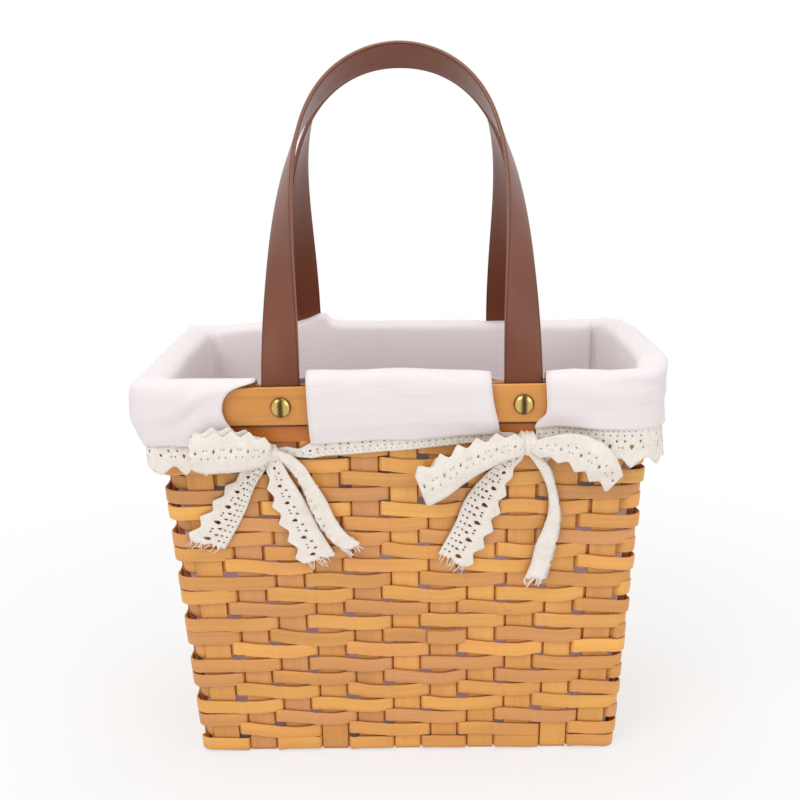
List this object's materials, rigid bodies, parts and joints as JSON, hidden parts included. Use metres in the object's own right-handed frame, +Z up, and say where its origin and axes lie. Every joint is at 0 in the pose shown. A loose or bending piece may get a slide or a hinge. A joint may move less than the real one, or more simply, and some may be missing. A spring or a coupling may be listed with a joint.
{
  "type": "splint basket with cloth liner",
  "caption": "Rectangular twill-woven splint basket with flared sides, folded cloth liner with lace ties, and two riveted strap handles that swing outwards.",
  "frame": {"origin": "middle of the base, on the surface the basket stands on", "axes": "+Z up, +X along the long side to the right as seen from the front, the front wall faces -Y"},
  "size_m": [0.2584, 0.1676, 0.3611],
  "materials": {
    "splint_wood": "thin sawn splints, light amber varnish",
    "rim_wood": "bent hoop, satin orange varnish",
    "strap_leather": "smooth brown strap, satin, dark cut edges",
    "rivet_brass": "polished",
    "liner_cloth": "plain-woven white cotton and linen",
    "lace_cotton": "cream cotton lace ribbon"
  },
  "bodies": {
    "basket": {"cross_splint_1": "splint_wood", "cross_splint_2": "splint_wood", "cross_splint_3": "splint_wood", "cross_splint_4": "splint_wood", "cross_splint_5": "splint_wood", "cross_splint_6": "splint_wood", "cross_splint_7": "splint_wood", "cross_splint_8": "splint_wood", "cross_splint_9": "splint_wood", "cross_splint_10": "splint_wood", "cross_splint_11": "splint_wood", "long_splint_1": "splint_wood", "long_splint_2": "splint_wood", "long_splint_3": "splint_wood", "long_splint_4": "splint_wood", "long_splint_5": "splint_wood", "long_splint_6": "splint_wood", "weaver_01": "splint_wood", "weaver_02": "splint_wood", "weaver_03": "splint_wood", "weaver_04": "splint_wood", "weaver_05": "splint_wood", "weaver_06": "splint_wood", "weaver_07": "splint_wood", "weaver_08": "splint_wood", "weaver_09": "splint_wood", "weaver_10": "splint_wood", "weaver_11": "splint_wood", "weaver_12": "splint_wood", "weaver_13": "splint_wood", "weaver_14": "splint_wood", "weaver_15": "splint_wood", "weaver_16": "splint_wood", "weaver_17": "splint_wood", "weaver_18": "splint_wood", "weaver_19": "splint_wood", "weaver_20": "splint_wood", "weaver_21": "splint_wood", "weaver_22": "splint_wood", "rim_band": "splint_wood", "outer_rim_hoop": "rim_wood", "inner_rim_hoop": "rim_wood", "front_left_strap_end": "strap_leather", "front_right_strap_end": "strap_leather", "back_left_strap_end": "strap_leather", "back_right_strap_end": "strap_leather", "front_left_rivet": "rivet_brass", "front_right_rivet": "rivet_brass", "back_left_rivet": "rivet_brass", "back_right_rivet": "rivet_brass", "cloth_liner": "liner_cloth", "front_lace_with_bows": "lace_cotton", "back_lace_with_bows": "lace_cotton", "right_lace": "lace_cotton", "left_lace": "lace_cotton"},
    "front_handle": {"front_handle_arch": "strap_leather"},
    "back_handle": {"back_handle_arch": "strap_leather"}
  },
  "joints": [
    {"name": "front_handle_fold", "type": "hinge", "parent": "basket", "child": "front_handle", "pos_m": [0, -0.07405, 0.2013], "axis": [1, 0, 0], "range_deg": [0, 85]},
    {"name": "back_handle_fold", "type": "hinge", "parent": "basket", "child": "back_handle", "pos_m": [0, 0.07405, 0.2013], "axis": [-1, 0, 0], "range_deg": [0, 85]}
  ]
}
